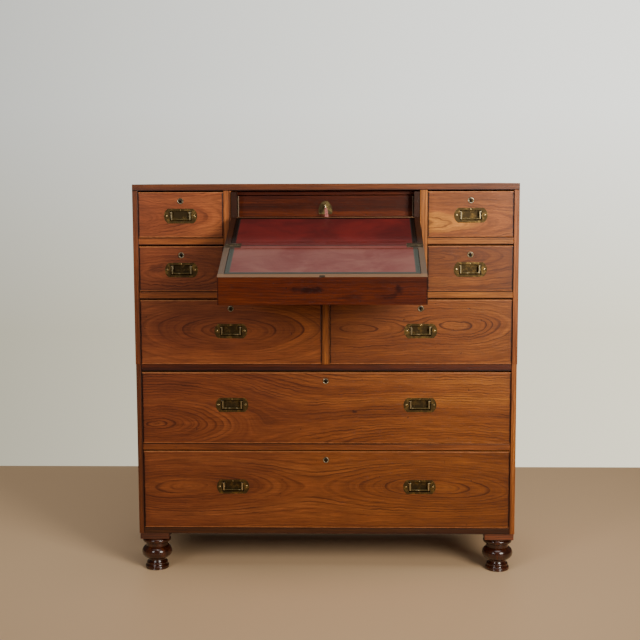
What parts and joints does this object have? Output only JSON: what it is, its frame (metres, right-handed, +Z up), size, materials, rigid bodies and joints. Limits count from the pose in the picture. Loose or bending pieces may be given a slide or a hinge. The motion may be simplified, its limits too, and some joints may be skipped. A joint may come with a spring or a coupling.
{
  "type": "campaign chest",
  "caption": "Two-part wooden campaign chest on turned feet, with flush brass handles, drawers and a pull-out writing drawer whose lid folds open.",
  "frame": {"origin": "on the floor, in the middle of the box round the chest with its writing drawer drawn out and its lid open", "axes": "+Z up, +X to the right seen from the front, +Y to the back"},
  "size_m": [1, 0.8054, 1.032],
  "materials": {
    "case_wood": "old polished camphor wood",
    "front_wood": "old polished figured wood",
    "inner_wood": "plain unpolished wood",
    "writing_wood": "dark polished wood",
    "fall_wood": "dark polished wood",
    "foot_wood": "dark glossy turned wood",
    "old_brass": "dull patinated",
    "dark_leather": "dark red, worn",
    "faded_leather": "faded red with a soft sheen",
    "ribbon": "pink woven ribbon"
  },
  "bodies": {
    "lower_case": {"lower_sides": "case_wood", "base_board": "case_wood", "lower_top": "case_wood", "lower_back": "inner_wood", "lower_rails": "case_wood", "feet": "foot_wood"},
    "upper_case": {"upper_sides": "case_wood", "upper_top": "case_wood", "upper_bottom": "inner_wood", "partitions": "case_wood", "upper_rails": "case_wood", "upper_back": "inner_wood"},
    "small_upper_left_drawer": {"small_upper_left_front": "front_wood", "small_upper_left_box": "inner_wood", "small_upper_left_brass": "old_brass"},
    "small_upper_left_bail": {"small_upper_left_bail": "old_brass"},
    "small_upper_right_drawer": {"small_upper_right_front": "front_wood", "small_upper_right_box": "inner_wood", "small_upper_right_brass": "old_brass"},
    "small_upper_right_bail": {"small_upper_right_bail": "old_brass"},
    "small_lower_left_drawer": {"small_lower_left_front": "front_wood", "small_lower_left_box": "inner_wood", "small_lower_left_brass": "old_brass"},
    "small_lower_left_bail": {"small_lower_left_bail": "old_brass"},
    "small_lower_right_drawer": {"small_lower_right_front": "front_wood", "small_lower_right_box": "inner_wood", "small_lower_right_brass": "old_brass"},
    "small_lower_right_bail": {"small_lower_right_bail": "old_brass"},
    "half_left_drawer": {"half_left_front": "front_wood", "half_left_box": "inner_wood", "half_left_brass": "old_brass"},
    "half_left_bail": {"half_left_bail": "old_brass"},
    "half_right_drawer": {"half_right_front": "front_wood", "half_right_box": "inner_wood", "half_right_brass": "old_brass"},
    "half_right_bail": {"half_right_bail": "old_brass"},
    "long_high_drawer": {"long_high_front": "front_wood", "long_high_box": "inner_wood", "long_high_brass": "old_brass"},
    "long_high_bail_left": {"long_high_bail_left": "old_brass"},
    "long_high_bail_right": {"long_high_bail_right": "old_brass"},
    "long_low_drawer": {"long_low_front": "front_wood", "long_low_box": "inner_wood", "long_low_brass": "old_brass"},
    "long_low_bail_left": {"long_low_bail_left": "old_brass"},
    "long_low_bail_right": {"long_low_bail_right": "old_brass"},
    "writing_drawer": {"writing_base": "writing_wood", "fold_hinges": "old_brass", "writing_handles": "old_brass"},
    "writing_lid": {"lid_frame": "writing_wood", "lid_brass": "old_brass"},
    "inner_flap": {"inner_flap": "writing_wood", "inner_leather": "dark_leather"},
    "lid_flap": {"lid_flap": "writing_wood", "lid_leather": "faded_leather"},
    "fall": {"fall": "fall_wood", "fall_lock": "old_brass", "key_ribbon": "ribbon"},
    "key": {"key": "old_brass"},
    "lock_bolt": {"lock_bolt": "old_brass"}
  },
  "joints": [
    {"name": "upper_case_lift", "type": "slide", "parent": "lower_case", "child": "upper_case", "axis": [0, 0, 1], "range_m": [0, 0.03]},
    {"name": "small_upper_left_slide", "type": "slide", "parent": "upper_case", "child": "small_upper_left_drawer", "axis": [0, -1, 0], "range_m": [0, 0.3]},
    {"name": "small_upper_left_bail_swing", "type": "hinge", "parent": "small_upper_left_drawer", "child": "small_upper_left_bail", "pos_m": [-0.37475, -0.0469, 0.95945], "axis": [-1, 0, 0], "range_deg": [0, 80]},
    {"name": "small_upper_right_slide", "type": "slide", "parent": "upper_case", "child": "small_upper_right_drawer", "axis": [0, -1, 0], "range_m": [0, 0.3]},
    {"name": "small_upper_right_bail_swing", "type": "hinge", "parent": "small_upper_right_drawer", "child": "small_upper_right_bail", "pos_m": [0.37475, -0.0469, 0.95945], "axis": [-1, 0, 0], "range_deg": [0, 80]},
    {"name": "small_lower_left_slide", "type": "slide", "parent": "upper_case", "child": "small_lower_left_drawer", "axis": [0, -1, 0], "range_m": [0, 0.3]},
    {"name": "small_lower_left_bail_swing", "type": "hinge", "parent": "small_lower_left_drawer", "child": "small_lower_left_bail", "pos_m": [-0.37475, -0.0469, 0.81945], "axis": [-1, 0, 0], "range_deg": [0, 80]},
    {"name": "small_lower_right_slide", "type": "slide", "parent": "upper_case", "child": "small_lower_right_drawer", "axis": [0, -1, 0], "range_m": [0, 0.3]},
    {"name": "small_lower_right_bail_swing", "type": "hinge", "parent": "small_lower_right_drawer", "child": "small_lower_right_bail", "pos_m": [0.37475, -0.0469, 0.81945], "axis": [-1, 0, 0], "range_deg": [0, 80]},
    {"name": "half_left_slide", "type": "slide", "parent": "upper_case", "child": "half_left_drawer", "axis": [0, -1, 0], "range_m": [0, 0.3]},
    {"name": "half_left_bail_swing", "type": "hinge", "parent": "half_left_drawer", "child": "half_left_bail", "pos_m": [-0.24775, -0.0469, 0.6593], "axis": [-1, 0, 0], "range_deg": [0, 80]},
    {"name": "half_right_slide", "type": "slide", "parent": "upper_case", "child": "half_right_drawer", "axis": [0, -1, 0], "range_m": [0, 0.3]},
    {"name": "half_right_bail_swing", "type": "hinge", "parent": "half_right_drawer", "child": "half_right_bail", "pos_m": [0.24775, -0.0469, 0.6593], "axis": [-1, 0, 0], "range_deg": [0, 80]},
    {"name": "long_high_slide", "type": "slide", "parent": "lower_case", "child": "long_high_drawer", "axis": [0, -1, 0], "range_m": [0, 0.3]},
    {"name": "long_high_bail_left_swing", "type": "hinge", "parent": "long_high_drawer", "child": "long_high_bail_left", "pos_m": [-0.247, -0.0469, 0.4633], "axis": [-1, 0, 0], "range_deg": [0, 80]},
    {"name": "long_high_bail_right_swing", "type": "hinge", "parent": "long_high_drawer", "child": "long_high_bail_right", "pos_m": [0.247, -0.0469, 0.4633], "axis": [-1, 0, 0], "range_deg": [0, 80]},
    {"name": "long_low_slide", "type": "slide", "parent": "lower_case", "child": "long_low_drawer", "axis": [0, -1, 0], "range_m": [0, 0.3]},
    {"name": "long_low_bail_left_swing", "type": "hinge", "parent": "long_low_drawer", "child": "long_low_bail_left", "pos_m": [-0.247, -0.0469, 0.2433], "axis": [-1, 0, 0], "range_deg": [0, 80]},
    {"name": "long_low_bail_right_swing", "type": "hinge", "parent": "long_low_drawer", "child": "long_low_bail_right", "pos_m": [0.247, -0.0469, 0.2433], "axis": [-1, 0, 0], "range_deg": [0, 80]},
    {"name": "writing_drawer_slide", "type": "slide", "parent": "upper_case", "child": "writing_drawer", "axis": [0, -1, 0], "range_m": [-0.178, 0.1]},
    {"name": "lid_fold", "type": "hinge", "parent": "writing_drawer", "child": "writing_lid", "pos_m": [0, -0.229, 0.88315], "axis": [1, 0, 0], "range_deg": [-180, 0]},
    {"name": "inner_flap_lift", "type": "hinge", "parent": "writing_drawer", "child": "inner_flap", "pos_m": [0, -0.21019, 0.8893], "axis": [1, 0, 0], "range_deg": [0, 85]},
    {"name": "lid_flap_lift", "type": "hinge", "parent": "writing_lid", "child": "lid_flap", "pos_m": [0, -0.24989, 0.87573], "axis": [-1, 0, 0], "range_deg": [0, 85]},
    {"name": "fall_open", "type": "hinge", "parent": "writing_drawer", "child": "fall", "pos_m": [0, -0.0237, 0.9473], "axis": [1, 0, 0], "range_deg": [0, 36], "deforming": ["key_ribbon"]},
    {"name": "key_turn", "type": "hinge", "parent": "fall", "child": "key", "pos_m": [0, -0.0237, 0.9723], "axis": [0, 1, 0], "range_deg": [0, 90]},
    {"name": "bolt_throw", "type": "slide", "parent": "fall", "child": "lock_bolt", "axis": [0, 0, 1], "range_m": [0, 0.006]}
  ],
  "couplings": [
    {"joint": "bolt_throw", "follows": "key_turn", "m_per_rad": 0.0038197}
  ]
}
